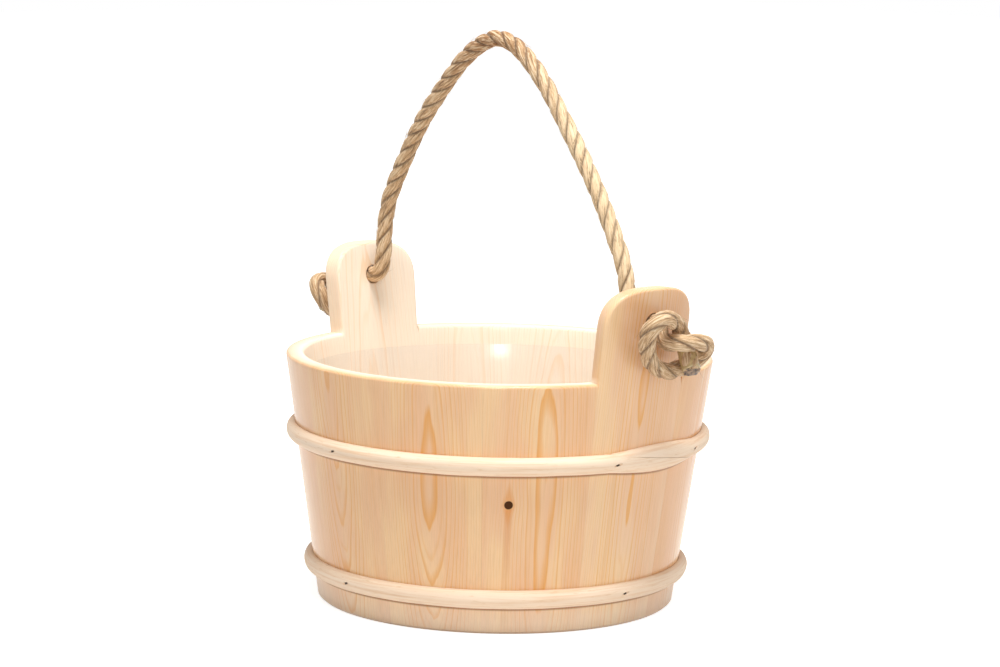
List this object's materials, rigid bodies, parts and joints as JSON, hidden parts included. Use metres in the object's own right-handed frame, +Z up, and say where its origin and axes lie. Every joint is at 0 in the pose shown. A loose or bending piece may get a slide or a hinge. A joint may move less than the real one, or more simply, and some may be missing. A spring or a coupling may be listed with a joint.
{
  "type": "sauna bucket",
  "caption": "Round wooden stave bucket for sauna water with two ears, lapped wooden hoops, a clear removable liner and a swinging rope handle knotted outside the ears.",
  "frame": {"origin": "middle of the foot circle, on the surface that the bucket stands on", "axes": "+X through the two ears, towards the right ear; +Z up"},
  "size_m": [0.3285, 0.259, 0.3456],
  "materials": {
    "pine": "planed pine, sanded smooth, with a thin clear oil",
    "peeled_rod": "peeled half-round rod, bare",
    "clear_plastic": "clear, glossy",
    "steel": "dark wire",
    "fibre_rope": "three-strand natural fibre"
  },
  "bodies": {
    "bucket": {"ear_stave_right": "pine", "ear_stave_left": "pine", "stave_01": "pine", "stave_02": "pine", "stave_03": "pine", "stave_04": "pine", "stave_05": "pine", "stave_07": "pine", "stave_08": "pine", "stave_09": "pine", "stave_10": "pine", "stave_11": "pine", "bottom_board_1": "pine", "bottom_board_2": "pine", "bottom_board_3": "pine", "upper_hoop": "peeled_rod", "lower_hoop": "peeled_rod", "upper_hoop_brad_1": "steel", "upper_hoop_brad_2": "steel", "upper_hoop_brad_3": "steel", "upper_hoop_brad_4": "steel", "upper_hoop_brad_5": "steel", "lower_hoop_brad_1": "steel", "lower_hoop_brad_2": "steel", "lower_hoop_brad_3": "steel", "lower_hoop_brad_4": "steel", "lower_hoop_brad_5": "steel"},
    "liner": {"liner": "clear_plastic"},
    "handle": {"rope_arch": "fibre_rope", "rope_knot_right": "fibre_rope", "rope_knot_left": "fibre_rope"}
  },
  "joints": [
    {"name": "handle_swing", "type": "hinge", "parent": "bucket", "child": "handle", "pos_m": [0, 0, 0.1845], "axis": [1, 0, 0], "range_deg": [-100, 100]},
    {"name": "liner_lift", "type": "slide", "parent": "bucket", "child": "liner", "axis": [0, 0, 1], "range_m": [0, 0.02]}
  ]
}
